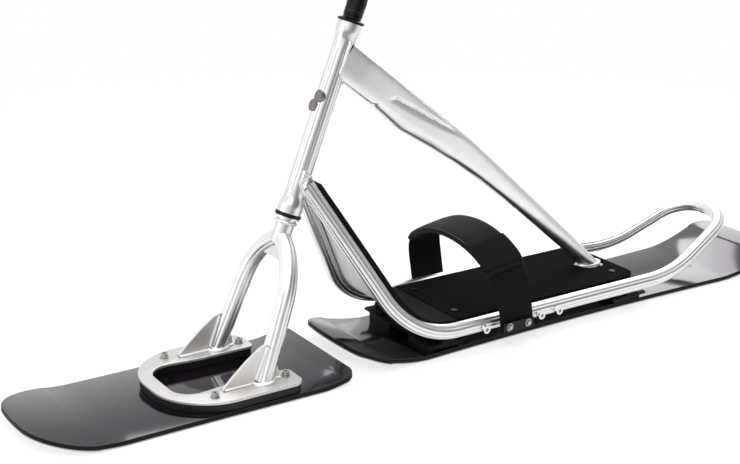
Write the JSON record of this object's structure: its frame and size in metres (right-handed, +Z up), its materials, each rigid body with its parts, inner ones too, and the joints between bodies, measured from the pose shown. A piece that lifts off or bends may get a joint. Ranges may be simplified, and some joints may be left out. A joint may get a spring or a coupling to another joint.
{
  "type": "snowscoot",
  "caption": "Snow scooter with a steered front board on a fork, a long rear board under an aluminium frame with a raised rear loop, a padded deck with a foot strap, and a handlebar.",
  "frame": {"origin": "middle of the whole length and width, on the snow under the boards", "axes": "+X forward, towards the front board's nose; +Y the rider's left; +Z up"},
  "size_m": [1.68, 0.646, 0.9105],
  "materials": {
    "board_top": "gloss",
    "board_base": "smooth",
    "board_edge": "ground",
    "rubber": "matt",
    "polished_aluminium": "satin polished",
    "plate_aluminium": "brushed",
    "bolt_steel": "zinc plated",
    "black_alloy": "black anodised",
    "grit_pad": "gritted",
    "kick_foam": "closed cell",
    "webbing": "woven",
    "sleeve_fabric": "padded",
    "grip_rubber": "ribbed"
  },
  "bodies": {
    "frame": {"rear_board_core": "board_top", "rear_board_base": "board_base", "rear_board_edge": "board_edge", "head_tube": "polished_aluminium", "headset_lower": "black_alloy", "headset_upper": "black_alloy", "head_badge": "plate_aluminium", "rail_left": "polished_aluminium", "rail_right": "polished_aluminium", "top_tube": "polished_aluminium", "deck_plate": "plate_aluminium", "deck_pad": "grit_pad", "kick_pad": "kick_foam", "deck_screws": "bolt_steel", "riser_front": "black_alloy", "riser_rear": "black_alloy", "riser_pad_front": "rubber", "riser_pad_rear": "rubber", "riser_bolts": "bolt_steel", "eyelets_left": "bolt_steel", "eyelets_right": "bolt_steel", "anchor_left": "bolt_steel", "anchor_right": "bolt_steel", "strap_band": "webbing", "strap_sleeve": "sleeve_fabric"},
    "steering": {"front_board_core": "board_top", "front_board_base": "board_base", "front_board_edge": "board_edge", "fork_pad": "rubber", "fork_plate": "plate_aluminium", "fork_plate_bolts": "bolt_steel", "fork_leg_left": "polished_aluminium", "fork_leg_right": "polished_aluminium", "fork_gussets_front": "plate_aluminium", "fork_gussets_rear": "plate_aluminium", "crown_web": "polished_aluminium", "steerer": "polished_aluminium", "crown_race": "black_alloy", "spacers": "black_alloy", "stem": "black_alloy", "stem_cap": "black_alloy", "handlebar": "black_alloy", "crossbar": "black_alloy", "grip_left": "grip_rubber", "grip_right": "grip_rubber"}
  },
  "joints": [
    {"name": "steering", "type": "hinge", "parent": "frame", "child": "steering", "pos_m": [0.434, 0, 0], "axis": [-0.3649, 0, 0.9311], "range_deg": [-45, 45]}
  ]
}
